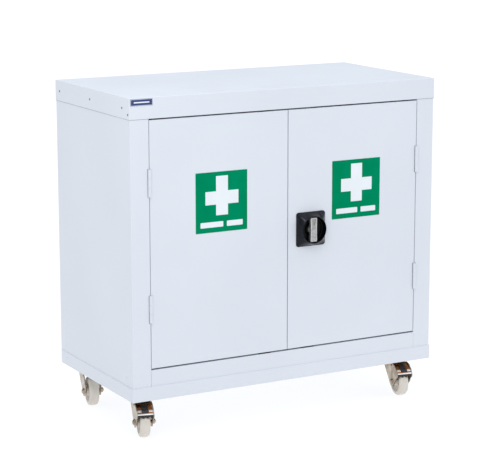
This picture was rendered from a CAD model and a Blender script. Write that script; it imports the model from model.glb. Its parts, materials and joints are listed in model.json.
"""Looks of a wheeled two-door cupboard for first-aid stores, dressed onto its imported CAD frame."""

import json
import math

import bmesh
import bpy
from mathutils import Matrix, Vector
from mathutils.geometry import interpolate_bezier


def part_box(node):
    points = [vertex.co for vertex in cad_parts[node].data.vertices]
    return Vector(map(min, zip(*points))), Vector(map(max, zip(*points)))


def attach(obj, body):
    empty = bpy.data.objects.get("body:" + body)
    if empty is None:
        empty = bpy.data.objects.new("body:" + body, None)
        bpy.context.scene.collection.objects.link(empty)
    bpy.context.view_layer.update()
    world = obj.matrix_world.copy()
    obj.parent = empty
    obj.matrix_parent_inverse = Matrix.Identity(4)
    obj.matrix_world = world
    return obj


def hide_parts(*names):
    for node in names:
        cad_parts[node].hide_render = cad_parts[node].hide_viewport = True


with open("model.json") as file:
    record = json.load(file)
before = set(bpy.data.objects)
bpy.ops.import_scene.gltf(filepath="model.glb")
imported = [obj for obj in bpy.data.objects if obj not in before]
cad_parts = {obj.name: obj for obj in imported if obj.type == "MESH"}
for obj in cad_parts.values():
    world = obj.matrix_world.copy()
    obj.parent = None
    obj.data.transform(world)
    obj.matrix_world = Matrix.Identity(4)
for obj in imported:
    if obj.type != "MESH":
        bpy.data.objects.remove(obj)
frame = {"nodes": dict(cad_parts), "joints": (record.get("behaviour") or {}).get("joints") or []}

NODES = frame["nodes"]
JOINTS = {joint["name"]: joint for joint in frame["joints"]}
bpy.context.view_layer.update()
MM = 0.001
CORNERS = ("front_left", "front_right", "back_left", "back_right")
BRAKED = CORNERS[:2]
LENS = 132.27  # mm
CAMERA_OFFSET = (-2.3868, -4.3115, 1.4596)  # from the floor under the carcass
CAMERA_HEADING = 0.508  # radians to the right of straight back
CAMERA_DIP = 0.1999  # radians below level
FLOOR_HALF = 40
FLOOR_DROP = 0.0005  # keeps the floor clear of the wheels
FLOOR_GREY = 0.22
FLOOR_GLOW = 0.84
SHARP = 32  # degrees between two faces from which their edge counts as sharp


# ---------------------------------------------------------------- camera, light and floor


def body_foot():
    """Point on the floor under the middle of the carcass."""
    left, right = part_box("left_side_panel"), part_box("right_side_panel")
    return Vector(((left[0].x + right[1].x) / 2, (left[0].y + left[1].y) / 2, 0))


def set_camera():
    """Long lens a little above the lid, looking at the left front corner."""
    data = bpy.data.cameras.new("camera")
    data.sensor_width = 36
    data.lens = LENS
    data.clip_end = 200
    camera = bpy.data.objects.new("camera", data)
    camera.location = body_foot() + Vector(CAMERA_OFFSET)
    camera.rotation_euler = (math.pi / 2 - CAMERA_DIP, 0, -CAMERA_HEADING)
    bpy.context.scene.collection.objects.link(camera)
    bpy.context.scene.camera = camera


def add_node(tree, kind, sockets=None, **settings):
    """A shader node with its settings, and its inputs set or linked."""
    node = tree.nodes.new(kind)
    for key, value in settings.items():
        setattr(node, key, value)
    for key, value in (sockets or {}).items():
        socket = node.inputs[key]
        if isinstance(value, bpy.types.NodeSocket):
            tree.links.new(value, socket)
        else:
            socket.default_value = value
    return node


def ramp(tree, factor, *stops):
    """Colour ramp through (position, colour) stops."""
    node = add_node(tree, "ShaderNodeValToRGB", {"Fac": factor})
    elements = node.color_ramp.elements
    while len(elements) < len(stops):
        elements.new(0.5)
    for element, (position, colour) in zip(elements, stops):
        element.position = position
        element.color = (*colour, 1)
    return node.outputs["Color"]


def set_world():
    """Even studio light, brighter from above."""
    world = bpy.data.worlds.new("studio")
    world.use_nodes = True
    tree = world.node_tree
    direction = add_node(tree, "ShaderNodeTexCoord").outputs["Generated"]
    towards = add_node(
        tree,
        "ShaderNodeVectorMath",
        {0: direction, 1: (0.10, -0.10, 0.95)},
        operation="DOT_PRODUCT",
    )
    share = add_node(
        tree,
        "ShaderNodeMapRange",
        {"Value": towards.outputs["Value"], "From Min": -0.1, "From Max": 0.9},
    )
    colour = ramp(tree, share.outputs[0], (0, (0.46, 0.49, 0.53)), (1, (1.26, 1.31, 1.375)))
    background = tree.nodes["Background"]
    tree.links.new(colour, background.inputs["Color"])
    background.inputs["Strength"].default_value = 1.0
    bpy.context.scene.world = world


def add_softbox(name, place, target, size, power):
    """Rectangular area light at place, turned to face target; size in metres, power in watts."""
    data = bpy.data.lights.new(name, "AREA")
    data.shape = "RECTANGLE"
    data.size, data.size_y = size
    data.energy = power
    data.color = (0.96, 0.98, 1.0)
    lamp = bpy.data.objects.new(name, data)
    lamp.location = place
    lamp.rotation_euler = (Vector(target) - Vector(place)).to_track_quat("-Z", "Y").to_euler()
    bpy.context.scene.collection.objects.link(lamp)


def set_stage():
    """White floor that carries most of its own light, so that shadows on it stay faint."""
    half = FLOOR_HALF
    mesh = bpy.data.meshes.new("floor")
    corners = [(-half, -half, 0), (half, -half, 0), (half, half, 0), (-half, half, 0)]
    mesh.from_pydata(corners, [], [(0, 1, 2, 3)])
    floor = bpy.data.objects.new("floor", mesh)
    floor.location.z = -FLOOR_DROP
    material = bpy.data.materials.new("stage_floor")
    material.use_nodes = True
    shader = material.node_tree.nodes["Principled BSDF"]
    shader.inputs["Base Color"].default_value = (FLOOR_GREY, FLOOR_GREY, FLOOR_GREY, 1)
    shader.inputs["Roughness"].default_value = 0.9
    shader.inputs["Specular IOR Level"].default_value = 0.1
    shader.inputs["Emission Color"].default_value = (0.97, 0.98, 1.0, 1)
    shader.inputs["Emission Strength"].default_value = FLOOR_GLOW
    mesh.materials.append(material)
    bpy.context.scene.collection.objects.link(floor)
    bpy.context.scene.view_settings.view_transform = "Standard"


# ---------------------------------------------------------------- materials


def noise(tree, coords, scale, detail=3.0, roughness=0.5):
    sockets = {"Vector": coords, "Scale": scale, "Detail": detail, "Roughness": roughness}
    return add_node(tree, "ShaderNodeTexNoise", sockets).outputs[0]


def spread(tree, factor, low, high, start=0.3, end=0.7):
    """A noise value stretched to run from low to high."""
    sockets = {"Value": factor, "From Min": start, "From Max": end, "To Min": low, "To Max": high}
    return add_node(tree, "ShaderNodeMapRange", sockets).outputs[0]


def bump(tree, height, distance, below=None):
    sockets = {"Height": height, "Distance": distance, "Strength": 1.0}
    if below is not None:
        sockets["Normal"] = below
    return add_node(tree, "ShaderNodeBump", sockets).outputs["Normal"]


def surface(name, dark, light, rough, blotch=9.0, grain=600.0, depth=0.02, wave=0.0, **settings):
    """Material whose colour, roughness and fine relief all vary with procedural noise.

    blotch and grain are the noise scales per metre; depth and wave are relief heights in mm.
    """
    stretch = settings.pop("stretch", (1, 1, 1))
    material = bpy.data.materials.new(name)
    material.use_nodes = True
    tree = material.node_tree
    shader = tree.nodes["Principled BSDF"]
    coords = add_node(tree, "ShaderNodeTexCoord").outputs["Object"]
    patches = noise(tree, coords, blotch)
    colour = ramp(tree, patches, (0.32, dark), (0.68, light))
    tree.links.new(colour, shader.inputs["Base Color"])
    streaks = add_node(tree, "ShaderNodeMapping", {"Vector": coords, "Scale": stretch}).outputs[0]
    fine = noise(tree, streaks, grain, 2.0)
    smear = noise(tree, streaks, blotch * 4, 4.0)
    tree.links.new(spread(tree, smear, *rough), shader.inputs["Roughness"])
    normal = None
    if wave:
        normal = bump(tree, noise(tree, coords, 5.0, 1.0), wave * MM)
    normal = bump(tree, fine, depth * MM, normal)
    tree.links.new(normal, shader.inputs["Normal"])
    for key, value in settings.items():
        shader.inputs[key.replace("_", " ")].default_value = value
    return material


def make_materials():
    made = {}
    made["white_paint"] = surface(
        "powder_coat", (0.655, 0.684, 0.732), (0.683, 0.712, 0.760), (0.34, 0.46),
        blotch=3.0, grain=620, depth=0.025, wave=0.35,
    )
    made["sign_green"] = surface(
        "sign_vinyl_green", (0.0003, 0.215, 0.093), (0.0006, 0.240, 0.107), (0.42, 0.55),
        blotch=20, grain=1400, depth=0.008, Specular_IOR_Level=0.0,
    )
    made["sign_white"] = surface(
        "sign_vinyl_white", (0.735, 0.77, 0.80), (0.775, 0.81, 0.845), (0.38, 0.5),
        blotch=20, grain=1400, depth=0.008,
    )
    made["badge_navy"] = surface(
        "badge_navy", (0.016, 0.030, 0.130), (0.022, 0.040, 0.165), (0.3, 0.42),
        blotch=60, grain=2000, depth=0.006,
    )
    made["black_plastic"] = surface(
        "moulded_black", (0.0035, 0.0035, 0.005), (0.006, 0.006, 0.008), (0.12, 0.2),
        blotch=40, grain=1500, depth=0.01, Specular_IOR_Level=0.26, Specular_Tint=(0.80, 0.84, 1.0, 1),
    )
    made["brake_black"] = surface(
        "pad_black", (0.006, 0.005, 0.006), (0.014, 0.012, 0.013), (0.25, 0.4),
        blotch=90, grain=1800, depth=0.03,
    )
    made["cast_grip"] = surface(
        "cast_alloy", (0.28, 0.28, 0.28), (0.38, 0.38, 0.375), (0.30, 0.45),
        blotch=60, grain=1100, depth=0.03, Metallic=0.75,
    )
    made["bright_alloy"] = surface(
        "cast_alloy_rubbed", (0.52, 0.52, 0.52), (0.66, 0.66, 0.655), (0.25, 0.4),
        blotch=60, grain=1100, depth=0.02, Metallic=0.75,
    )
    made["well_black"] = surface(
        "moulded_black_matt", (0.0012, 0.0012, 0.0016), (0.002, 0.002, 0.0026), (0.2, 0.32),
        blotch=40, grain=1500, depth=0.006, Specular_IOR_Level=0.10,
    )
    made["key_brass"] = surface(
        "plated_brass", (0.30, 0.29, 0.27), (0.42, 0.40, 0.37), (0.22, 0.34),
        blotch=120, grain=2200, depth=0.01, Metallic=1.0,
    )
    made["zinc_plate"] = surface(
        "bright_zinc", (0.24, 0.175, 0.115), (0.52, 0.455, 0.37), (0.16, 0.34),
        blotch=45, grain=900, depth=0.02, stretch=(1, 1, 0.25), Metallic=1.0,
    )
    made["amber_zinc"] = surface(
        "yellow_passivated_zinc", (0.25, 0.088, 0.024), (0.42, 0.165, 0.052), (0.16, 0.3),
        blotch=70, grain=1200, depth=0.015, Metallic=1.0,
    )
    made["polished_zinc"] = surface(
        "polished_zinc", (0.80, 0.76, 0.70), (0.92, 0.90, 0.87), (0.12, 0.25),
        blotch=90, grain=1500, depth=0.01, Metallic=1.0,
    )
    made["wheel_nylon"] = surface(
        "cream_nylon", (0.60, 0.545, 0.465), (0.69, 0.64, 0.575), (0.3, 0.45),
        blotch=35, grain=1100, depth=0.02,
    )
    made["buffer_rubber"] = surface(
        "soft_rubber", (0.020, 0.020, 0.021), (0.034, 0.034, 0.035), (0.6, 0.8),
        blotch=120, grain=2500, depth=0.04,
    )
    made["seam_grey"] = surface(
        "painted_raw_edge", (0.24, 0.25, 0.27), (0.32, 0.33, 0.35), (0.4, 0.55),
        blotch=40, grain=900, depth=0.02,
    )
    made["rivet_metal"] = surface(
        "rivet_alloy", (0.16, 0.17, 0.185), (0.25, 0.26, 0.28), (0.3, 0.45),
        blotch=200, grain=2500, depth=0.01, Metallic=0.6,
    )
    return made


# ---------------------------------------------------------------- mesh building


def ring(count, radius, height, shape=None):
    """Points round local Z. shape(angle), where given, takes the place of the radius."""
    points = []
    for step in range(count):
        angle = 2 * math.pi * step / count
        reach = shape(angle) if shape else radius
        points.append(Vector((reach * math.cos(angle), reach * math.sin(angle), height)))
    return points


def stack(loops, closed=False):
    """Skin a list of loops with equal point counts. Open stacks get flat end caps."""
    count = len(loops[0])
    verts = [point for loop in loops for point in loop]
    faces = []
    last = len(loops) if closed else len(loops) - 1
    for row in range(last):
        base, above = row * count, (row + 1) % len(loops) * count
        for step in range(count):
            after = (step + 1) % count
            faces.append((base + step, base + after, above + after, above + step))
    if not closed:
        faces.append(tuple(range(count - 1, -1, -1)))
        faces.append(tuple(range(len(verts) - count, len(verts))))
    return verts, faces


def prism(outline, low, high):
    """Flat outline given thickness from low to high in local Z."""
    bottom = [Vector((x, y, low)) for x, y in outline]
    top = [Vector((x, y, high)) for x, y in outline]
    return stack([bottom, top])


def slab(outline, low, high):
    """Prism with its outline and depth in mm."""
    return prism([(point[0] * MM, point[1] * MM) for point in outline], low * MM, high * MM)


def merged(*shapes):
    """Several (verts, faces) shapes as one."""
    verts, faces = [], []
    for more_verts, more_faces in shapes:
        start = len(verts)
        verts += more_verts
        faces += [tuple(start + index for index in face) for face in more_faces]
    return verts, faces


def moved(shape, matrix):
    verts, faces = shape
    return [matrix @ Vector(point) for point in verts], faces


def rounded_outline(half_x, half_y, corner, steps=6):
    """Counter-clockwise rectangle with rounded corners."""
    points = []
    for quarter, (sx, sy) in enumerate(((1, 1), (-1, 1), (-1, -1), (1, -1))):
        for step in range(steps + 1):
            angle = math.pi / 2 * (quarter + step / steps)
            x = sx * (half_x - corner) + corner * math.cos(angle)
            y = sy * (half_y - corner) + corner * math.sin(angle)
            points.append((x, y))
    return points


def add_piece(name, shape, body, material, matrix=None, bevel=0.0, replaces=(), sharp=SHARP):
    """A mesh piece that rides on a CAD body. Its points are taken to the row frame by matrix.

    bevel is the width of its rounded edges in mm, sharp the angle of its sharp edges in degrees.
    """
    verts, faces = moved(shape, matrix) if matrix else shape
    mesh = bpy.data.meshes.new(name)
    mesh.from_pydata([tuple(point) for point in verts], [], faces)
    tidy = bmesh.new()
    tidy.from_mesh(mesh)
    bmesh.ops.remove_doubles(tidy, verts=tidy.verts, dist=1e-6)
    bmesh.ops.recalc_face_normals(tidy, faces=tidy.faces)
    for face in tidy.faces:
        face.smooth = True
    tidy.to_mesh(mesh)
    tidy.free()
    mesh.set_sharp_from_angle(angle=math.radians(sharp))
    mesh.materials.append(material)
    piece = bpy.data.objects.new(name, mesh)
    bpy.context.scene.collection.objects.link(piece)
    if bevel:
        add_bevel(piece, bevel)
    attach(piece, body)
    if replaces:
        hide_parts(*replaces)


def add_bevel(piece, width):
    """Round the sharp edges of a piece by width in mm."""
    edge = piece.modifiers.new("round_edges", "BEVEL")
    edge.width = width * MM
    edge.segments = 2
    edge.limit_method = "ANGLE"
    edge.angle_limit = math.radians(SHARP)
    edge.harden_normals = False
    normals = piece.modifiers.new("even_normals", "WEIGHTED_NORMAL")
    normals.keep_sharp = False
    normals.weight = 80


def facing_front(x, y, z):
    """Local X to the right, local Y up, local Z out of the front."""
    return Matrix(((1, 0, 0, x), (0, 0, -1, y), (0, 1, 0, z), (0, 0, 0, 1)))


# ---------------------------------------------------------------- CAD nodes that stay


def dress_nodes(materials):
    """Procedural materials on every CAD node, and rounded edges where a real edge is rounded."""
    rounding = {"white_paint": 0.5, "zinc_plate": 0.5, "black_plastic": 0.4, "cast_grip": 0.3}
    for node in NODES.values():
        slot = node.data.materials[0].name.split(".")[0]
        for holder in node.material_slots:
            holder.link = "OBJECT"
            holder.material = materials[slot]
        width = rounding.get(slot)
        if width:
            weld = node.modifiers.new("weld", "WELD")
            weld.merge_threshold = 1e-5
            flat = node.modifiers.new("flat_faces", "DECIMATE")
            flat.decimate_type = "DISSOLVE"
            flat.angle_limit = math.radians(0.5)
            add_bevel(node, width)


# ---------------------------------------------------------------- signs and plate


def sign_marks(side, materials):
    """White cross and two plain bars on the green sign."""
    low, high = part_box(f"{side}_sign")
    width, height = high.x - low.x, high.z - low.z
    place = facing_front(low.x, low.y, low.z)
    middle = width * 0.507
    arm = width * 0.115
    reach = width * 0.320
    centre = height * 0.605
    upright = height * 0.325
    level = height * 0.57
    thick = height * 0.11
    cross = [
        (middle - arm, centre - upright), (middle + arm, centre - upright),
        (middle + arm, level - thick), (middle + reach, level - thick),
        (middle + reach, level + thick), (middle + arm, level + thick),
        (middle + arm, centre + upright), (middle - arm, centre + upright),
        (middle - arm, level + thick), (middle - reach, level + thick),
        (middle - reach, level - thick), (middle - arm, level - thick),
    ]
    sunk, lift = -0.05 * MM, 0.12 * MM
    shapes = [prism(cross, sunk, lift)]
    bar_low, bar_high = height * 0.085, height * 0.175
    for start, end in ((0.09, 0.53), (0.60, 0.91)):
        bar = rounded_outline(width * (end - start) / 2, (bar_high - bar_low) / 2, 2 * MM)
        shift = Matrix.Translation((width * (start + end) / 2, (bar_low + bar_high) / 2, 0))
        shapes.append(moved(prism(bar, sunk, lift), shift))
    add_piece(
        f"{side}_sign_marks", merged(*shapes), f"{side}_door",
        materials["sign_white"], place, bevel=0.05,
    )


def badge_trim(materials):
    """Thin light border and a plain stripe on the blank plate."""
    low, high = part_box("badge_plate")
    half_x, half_y = (high.x - low.x) / 2, (high.z - low.z) / 2
    place = facing_front((low.x + high.x) / 2, low.y, (low.z + high.z) / 2)
    sunk, lift = -0.05 * MM, 0.15 * MM
    frames = []
    for inset, level in ((0.5, sunk), (0.5, lift), (1.3, lift), (1.3, sunk)):
        outline = rounded_outline(half_x - inset * MM, half_y - inset * MM, 0.8 * MM)
        frames.append([Vector((x, y, level)) for x, y in outline])
    border = stack(frames, closed=True)
    stripe = rounded_outline(half_x - 9 * MM, 1.6 * MM, 1 * MM)
    stripe = prism(stripe, sunk, lift)
    add_piece(
        "badge_trim", merged(border, stripe), "carcass",
        materials["sign_white"], place, bevel=0.05,
    )


# ---------------------------------------------------------------- lock


def lock_plate(materials):
    """Moulded plate that rises from a rounded square to a round rim about a deep well."""
    low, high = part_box("lock_housing")
    door_low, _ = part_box("right_door_panel")
    face = door_low.y
    half_x, half_z = (high.x - low.x) / 2, (high.z - low.z) / 2
    rim = face - low.y
    sleeve = high.y - face
    place = facing_front((low.x + high.x) / 2, face, (low.z + high.z) / 2)
    corner = 7 * MM
    count = 144

    def plate_edge(angle):
        """Distance from the centre to the edge of the rounded rectangle."""
        c, s = abs(math.cos(angle)), abs(math.sin(angle))
        reach = min(half_x / max(c, 1e-9), half_z / max(s, 1e-9))
        x, y = reach * c, reach * s
        if x > half_x - corner and y > half_z - corner:
            cx, cy = half_x - corner, half_z - corner
            along = cx * c + cy * s
            off = cx * cx + cy * cy - along * along
            reach = along + math.sqrt(max(corner * corner - off, 0))
        return reach

    def mixed(share, inset, inner):
        return lambda angle: (plate_edge(angle) - inset) * (1 - share) + inner * share

    rim_radius = 37 * MM
    edge = 2.5 * MM
    loops = [ring(count, 0, 0, plate_edge), ring(count, 0, edge - 0.9 * MM, plate_edge)]
    loops.append(ring(count, 0, edge - 0.25 * MM, mixed(0, 0.3 * MM, 0)))
    loops.append(ring(count, 0, edge, mixed(0, 1.0 * MM, 0)))
    rise = rim - edge - 1.3 * MM
    steps = 12
    for step in range(1, steps + 1):
        share = step / steps
        lift = share**1.25
        loops.append(ring(count, 0, edge + rise * lift, mixed(share, 1.0 * MM, rim_radius)))
    for radius, drop in ((36.85, 0.7), (36.5, 0.2), (36.05, 0.0), (35.6, 0.15), (35.3, 0.6)):
        loops.append(ring(count, radius * MM, rim - drop * MM))
    floor = 4 * MM
    for radius, height in ((35.1, 16.0), (34.8, 8.0), (34.4, 5.6), (33.6, 4.5), (32.2, 4.0)):
        loops.append(ring(count, radius * MM, height * MM))
    hole, sleeve_radius = 8.3 * MM, 13 * MM
    for radius in (27 * MM, 20 * MM, hole):
        loops.append(ring(count, radius, floor))
    loops.append(ring(count, hole, -sleeve))
    loops.append(ring(count, sleeve_radius, -sleeve))
    loops.append(ring(count, sleeve_radius, 0))
    add_piece(
        "lock_plate", stack(loops, closed=True), "right_door",
        materials["black_plastic"], place, replaces=["lock_housing"], sharp=40,
    )


def lock_well(materials):
    """Dark lining of the well, whose floor drops by a shallow slope towards the spindle."""
    low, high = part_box("lock_housing")
    door_low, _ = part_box("right_door_panel")
    rim = (door_low.y - low.y) / MM
    place = facing_front((low.x + high.x) / 2, door_low.y, (low.z + high.z) / 2)
    inside = [
        (34.9, rim - 0.9), (34.6, 10.0), (34.3, 7.4), (33.4, 6.3), (32.0, 5.9), (21.0, 5.8),
        (17.2, 4.26), (8.6, 4.2),
    ]
    outside = [(8.6, 3.9), (32.2, 3.9), (34.3, 5.2), (35.0, 10.0), (35.25, rim - 0.9)]
    loops = [ring(96, radius * MM, height * MM) for radius, height in inside + outside]
    add_piece(
        "lock_well", stack(loops, closed=True), "right_door",
        materials["well_black"], place, sharp=12,
    )


def grip_ribs(materials):
    """Row of low cross ribs on the lower half of the grip."""
    low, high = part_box("lock_grip")
    place = facing_front((low.x + high.x) / 2, low.y, (low.z + high.z) / 2)
    lowest, pitch, number = -26, 3.6, 8
    shapes = []
    for step in range(number):
        level = (lowest + pitch * step) * MM
        rib = rounded_outline(5.6 * MM, 0.75 * MM, 0.5 * MM, 3)
        shapes.append(moved(prism(rib, -0.2 * MM, 0.35 * MM), Matrix.Translation((0, level, 0))))
    add_piece(
        "grip_ribs", merged(*shapes), "handle",
        materials["bright_alloy"], place, bevel=0.15, sharp=40,
    )


def grip_loop(inset, height, half_x, half_z):
    """The grip's waisted outline, drawn in by inset."""
    waist_depth, waist_curve = 0.8 * MM, 330 * MM
    corner = max(3 * MM - inset, 0.6 * MM)
    points = []
    for x, y in rounded_outline(half_x - inset, half_z - inset, corner, 8):
        waist = max(0.0, waist_depth - y * y / (2 * waist_curve))
        points.append(Vector((x - math.copysign(waist, x), y, height)))
    return points


def grip_border(materials):
    """Raised border round the face of the turning grip."""
    low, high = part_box("lock_grip")
    half_x, half_z = 10.5 * MM, (high.z - low.z) / 2
    place = facing_front((low.x + high.x) / 2, low.y, (low.z + high.z) / 2)
    section = [(1.5, -0.2), (1.6, 0.3), (2.1, 0.55), (3.1, 0.55), (3.6, 0.3), (3.9, -0.2)]
    loops = [grip_loop(inset * MM, height * MM, half_x, half_z) for inset, height in section]
    add_piece(
        "grip_border", stack(loops, closed=True), "handle",
        materials["bright_alloy"], place, sharp=60,
    )


def key_face(materials):
    """Key barrel with its slot, and the collar let into the grip."""
    low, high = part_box("key_cylinder")
    radius = (high.x - low.x) / 2
    length = high.y - low.y
    place = facing_front((low.x + high.x) / 2, low.y, (low.z + high.z) / 2)
    count = 48
    half_slot, half_width = 3.4 * MM, 1.1 * MM

    def slot_loop(height):
        """Oblong of the key slot at one height."""
        points = []
        for step in range(count):
            angle = 2 * math.pi * step / count
            x = half_width * max(-1, min(1, 1.5 * math.cos(angle)))
            y = half_slot * max(-1, min(1, 1.2 * math.sin(angle)))
            points.append(Vector((x, y, height)))
        return points

    proud = 0.35 * MM
    loops = [
        ring(count, radius, -length),
        ring(count, radius, proud - 0.3 * MM),
        ring(count, radius - 0.3 * MM, proud),
        ring(count, radius - 1.2 * MM, proud),
        ring(count, radius - 1.4 * MM, proud - 0.25 * MM),
        slot_loop(proud - 0.25 * MM),
        slot_loop(proud - 3 * MM),
    ]
    add_piece(
        "key_barrel_face", stack(loops), "key_barrel",
        materials["key_brass"], place, replaces=["key_cylinder"], sharp=30,
    )


# ---------------------------------------------------------------- rivets


def islands(node):
    """Lowest and highest corners of each separate solid in a CAD node."""
    mesh = bmesh.new()
    mesh.from_mesh(NODES[node].data)
    bmesh.ops.remove_doubles(mesh, verts=mesh.verts, dist=1e-6)
    unseen = set(mesh.verts)
    boxes = []
    while unseen:
        queue, group = [unseen.pop()], []
        while queue:
            vert = queue.pop()
            group.append(vert.co.copy())
            for edge in vert.link_edges:
                other = edge.other_vert(vert)
                if other in unseen:
                    unseen.remove(other)
                    queue.append(other)
        low = Vector([min(p[i] for p in group) for i in range(3)])
        high = Vector([max(p[i] for p in group) for i in range(3)])
        boxes.append((low, high))
    mesh.free()
    return sorted(boxes, key=lambda box: tuple(round(v, 5) for v in box[0]))


def lid_seams(materials):
    """Raw lower edge of the lid's skirt, seen as a thin line along each side and over the stiles."""
    lid_low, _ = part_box("lid")
    thick, tall, lap = 0.6 * MM, 1.0 * MM, 0.3 * MM
    for side in ("left", "right"):
        low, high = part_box(f"{side}_side_panel")
        sign = -1 if side == "left" else 1
        outer, inner = (low.x, high.x) if sign < 0 else (high.x, low.x)
        front, back = low.y, high.y
        outline = [
            (inner, front + lap), (inner, front - thick), (outer + sign * thick, front - thick),
            (outer + sign * thick, back), (outer - sign * lap, back), (outer - sign * lap, front + lap),
        ]
        add_piece(
            f"{side}_lid_seam", prism(outline, lid_low.z - tall, lid_low.z), "carcass",
            materials["seam_grey"],
        )


def spot_marks(materials):
    """Faint raised dots where the stiles are spot-welded to the tray and the front rail."""
    profile = [(3.4, -0.2), (3.4, 0.0), (2.9, 0.22), (1.8, 0.34), (0.8, 0.36)]
    loops = [ring(24, radius * MM, height * MM) for radius, height in profile]
    shapes = []
    for side in ("left", "right"):
        low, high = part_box(f"{side}_side_panel")
        edge, way = (low.x, 1) if side == "left" else (high.x, -1)
        for inset, level in ((11, 173), (40, 150)):
            place = facing_front(edge + way * inset * MM, low.y, level * MM)
            shapes.append(moved(stack(loops), place))
    add_piece(
        "spot_marks", merged(*shapes), "carcass", materials["white_paint"], sharp=60,
    )


def dome_rivets(materials):
    """Blind rivets: a low dome with a dimple where the stem broke off, and a shank.

    Those through the lid's skirt are bare; those near the base are painted with the carcass.
    """
    count = 24
    profile = [
        (2.0, -3.0), (2.0, 0.0), (3.0, 0.0), (3.05, 0.25), (2.8, 0.6), (2.2, 0.88), (1.4, 1.0),
        (1.05, 1.0), (0.9, 0.6), (0.4, 0.55),
    ]
    skirt_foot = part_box("lid")[0].z
    bare, painted = [], []
    for low, high in islands("body_rivets"):
        side = 1 if low.x > 0 else -1
        head = high.x if side > 0 else low.x
        y, z = (low.y + high.y) / 2, (low.z + high.z) / 2
        out = Matrix(((0, 0, side, head - side * MM), (side, 0, 0, y), (0, 1, 0, z), (0, 0, 0, 1)))
        loops = [ring(count, radius * MM, height * MM) for radius, height in profile]
        finish = bare if z > skirt_foot else painted
        finish.append(moved(stack(loops), out))
    add_piece(
        "dome_rivets", merged(*bare), "carcass",
        materials["rivet_metal"], replaces=["body_rivets"], sharp=50,
    )
    add_piece(
        "painted_rivets", merged(*painted), "carcass",
        materials["white_paint"], sharp=50,
    )


# ---------------------------------------------------------------- casters


def axle_frame(corner):
    """Local X along the axle to the right, local Z up, origin in the middle of the axle."""
    joint = JOINTS[f"roll_{corner}"]
    across = Vector(joint["axis"]).normalized()
    if across.x < 0:
        across = -across
    up = Vector((0, 0, 1))
    back = up.cross(across)
    place = Matrix((across, back, up)).transposed().to_4x4()
    place.translation = Vector(joint["pos_m"])
    return place


def wheel(corner, materials):
    """Moulded wheel: crowned tread, rim, ribbed web and hub, turned about the axle."""
    count = 120
    ribs = 8
    web, rib, rib_share = 7.0, 9.5, 0.18
    half_section = [  # radius and distance from the middle plane, in mm
        (4.05, 18.0), (7.0, 18.0), (7.6, 17.4), (11.4, 17.0), (12.0, 16.4), (13.0, web + 1.5),
        (14.5, "web"), (25.5, "web"), (28.0, 10.4), (29.4, 13.0), (30.4, 13.5), (33.6, 13.4),
        (36.2, 12.4), (38.2, 10.4), (39.4, 7.9), (39.9, 5.2), (40.0, 0.6),
    ]

    def depth(value, angle):
        """Distance from the middle plane, which on the web is larger at the ribs."""
        if value != "web":
            return value
        turn = (angle * ribs / (2 * math.pi)) % 1
        return rib if abs(turn - 0.5) < rib_share / 2 else web

    def loop(radius, value, side):
        points = []
        for step in range(count):
            angle = 2 * math.pi * step / count
            x = side * depth(value, angle) * MM
            points.append(Vector((x, radius * MM * math.cos(angle), radius * MM * math.sin(angle))))
        return points

    loops = [loop(radius, value, 1) for radius, value in half_section]
    loops += [loop(radius, value, -1) for radius, value in reversed(half_section)]
    node = f"caster_wheel_{corner}"
    add_piece(
        f"wheel_{corner}", stack(loops, closed=True), f"wheel_{corner}",
        materials["wheel_nylon"], axle_frame(corner), replaces=[node], sharp=38,
    )


def fork_section(corner):
    """Local X back, local Y up, local Z along the axle; origin on the floor under the swivel axis."""
    turn = Matrix(((0, 0, 1, 0), (1, 0, 0, 0), (0, 1, 0, 0), (0, 0, 0, 1)))
    place = axle_frame(corner)
    swivel = Vector(JOINTS[f"swivel_{corner}"]["pos_m"])
    place.translation = Vector((swivel.x, swivel.y, 0))
    return place @ turn


def tread_curve(count):
    """Points down the top of the brake tread, each with its outward normal, in mm."""
    knots = [Vector((x, y, 0)) for x, y in ((-39, 90.4), (-47, 88.8), (-61, 84.5), (-72, 71.4))]
    points = interpolate_bezier(*knots, count)
    curve = []
    for index, point in enumerate(points):
        ahead = points[min(index + 1, count - 1)] - points[max(index - 1, 0)]
        along = ahead.normalized()
        curve.append((Vector((point.x, point.y)), Vector((along.y, -along.x))))
    return curve


def brake_tread(corner, materials):
    """Pressed tread: a curved amber-plated plate, two ears on the pin, and a bright folded lip."""
    place = fork_section(corner)
    half, thick = 20, 2
    outer = [point for point, _ in tread_curve(14)]
    inner = [point - normal * thick for point, normal in tread_curve(14)]
    shapes = [slab(outer + inner[::-1], -half, half)]
    ear = [(-29, 84), (-29, 90), (-31, 92.4), (-44, 88.4), (-46, 86), (-38, 83)]
    for start in (-half, half - thick):
        shapes.append(slab(ear, start, start + thick))
    pin_half, pin_radius = 24.4, 2.5
    pin = ring(24, pin_radius, 0)
    shapes.append(slab([point + Vector((-33, 86.5, 0)) for point in pin], -pin_half, pin_half))
    add_piece(
        f"brake_tread_{corner}", merged(*shapes), f"brake_{corner}",
        materials["amber_zinc"], place, bevel=0.3, replaces=[f"brake_pedal_{corner}"], sharp=40,
    )
    lip = [(-71.4, 71.6), (-72.4, 72.6), (-74.6, 71.2), (-75.6, 69.6), (-74.8, 68.4), (-71.6, 69.4)]
    bar = [(-64.4, 78.4), (-65.6, 80.0), (-70.0, 76.0), (-69.2, 74.4)]
    shapes = [slab(lip, -half - 0.2, half + 0.2)]
    for start, end in ((-half, -9.4), (9.4, half)):
        shapes.append(slab(bar, start, end))
    add_piece(
        f"brake_lip_{corner}", merged(*shapes), f"brake_{corner}",
        materials["polished_zinc"], place, bevel=0.5, sharp=40,
    )


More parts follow.
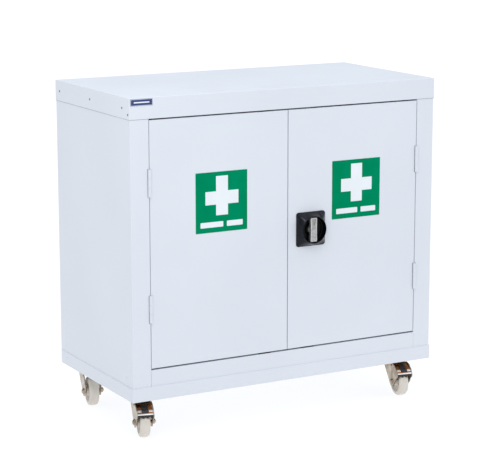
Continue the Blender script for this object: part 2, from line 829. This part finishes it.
def brake_shoe(corner, materials):
    """Black moulding let through the tread: a ribbed pad above and a toothed shoe under the lip."""
    place = fork_section(corner)
    run = tread_curve(49)[9:47]
    ribs, least, body, crest, depth = 3, 0.2, 1.3, 1.4, 2.3
    top = []
    for index, (point, normal) in enumerate(run):
        share = index / (len(run) - 1)
        swell = math.sin(math.pi * share) ** 0.35 if 0 < share < 1 else 0
        rib = abs(math.sin(math.pi * ribs * share)) ** 0.6
        top.append(point + normal * (least + swell * (body + crest * rib)))
    base = [point - normal * depth for point, normal in run]
    pad_half = 8.8
    shapes = [slab(top + base[::-1], -pad_half, pad_half)]
    top_band = [(-39.4, 88.8), (-38.6, 90.2), (-27, 92.6), (-26.6, 90.6)]
    front_band = [(-74.4, 68.8), (-74.2, 62.8), (-71.2, 62.8), (-70.8, 69.0)]
    shapes.append(slab(top_band, -19.4, 19.4))
    shapes.append(slab(front_band, -19.6, 19.6))
    tooth, tooth_half = [(-74.2, 63), (-73.6, 59.6), (-72.2, 59.6), (-71.2, 63)], 2.8
    for middle in (-16, -5.5, 5.5, 16):
        shapes.append(slab(tooth, middle - tooth_half, middle + tooth_half))
    add_piece(
        f"brake_shoe_{corner}", merged(*shapes), f"brake_{corner}",
        materials["brake_black"], place, bevel=0.3, replaces=[f"brake_insert_{corner}"], sharp=40,
    )


def axle_bolt(corner, materials):
    """Axle with washers, a low hexagon head on the left and a tall lock nut on the right."""
    place = axle_frame(corner)

    def hexagon(half_flats):
        turn = math.pi / 3
        return lambda angle: half_flats * MM / math.cos((angle + turn / 2) % turn - turn / 2)

    def loop(radius, x, half_flats=None):
        points = ring(48, radius * MM, x * MM, hexagon(half_flats) if half_flats else None)
        return [Vector((p.z, p.x, p.y)) for p in points]

    flat, washer_face = 6.5, 24.3
    cap = [(0.6, 28.9), (2.8, 28.7), (4.6, 28.1), (5.8, 27.0), (6.2, 26.2)]
    nut = [(6.2, 29.9), (5.4, 31.0), (4.4, 31.4), (3.1, 31.4), (3.0, 32.4), (2.4, 32.9), (0.6, 33.0)]
    washer = [(8.6, washer_face), (8.9, 23.9), (8.9, 23.05), (4.0, 23.05)]
    loops = [loop(radius, -x) for radius, x in cap]
    loops += [loop(0, -26.1, flat), loop(0, -washer_face, flat)]
    loops += [loop(radius, -x) for radius, x in washer]
    loops += [loop(radius, x) for radius, x in washer[::-1]]
    loops += [loop(0, washer_face, flat), loop(0, 29.8, flat)]
    loops += [loop(radius, x) for radius, x in nut]
    add_piece(
        f"axle_bolt_{corner}", stack(loops), f"swivel_{corner}",
        materials["zinc_plate"], place, replaces=[f"caster_axle_{corner}"], sharp=40,
    )


# ---------------------------------------------------------------- the scene


set_camera()
set_world()
set_stage()
add_softbox("key_light", (-1.35, -1.5, 2.4), target=(-0.1, 0, 0.5), size=(1.0, 1.0), power=13.5)
add_softbox("strip_light", (2.11, -1.02, 0.58), target=(0, 0, 0.5), size=(0.35, 0.9), power=1.2)
MATERIALS = make_materials()
dress_nodes(MATERIALS)
for door_side in ("left", "right"):
    sign_marks(door_side, MATERIALS)
badge_trim(MATERIALS)
lock_plate(MATERIALS)
lock_well(MATERIALS)
grip_border(MATERIALS)
grip_ribs(MATERIALS)
key_face(MATERIALS)
dome_rivets(MATERIALS)
lid_seams(MATERIALS)
spot_marks(MATERIALS)
for place_name in CORNERS:
    wheel(place_name, MATERIALS)
    axle_bolt(place_name, MATERIALS)
for place_name in BRAKED:
    brake_tread(place_name, MATERIALS)
    brake_shoe(place_name, MATERIALS)
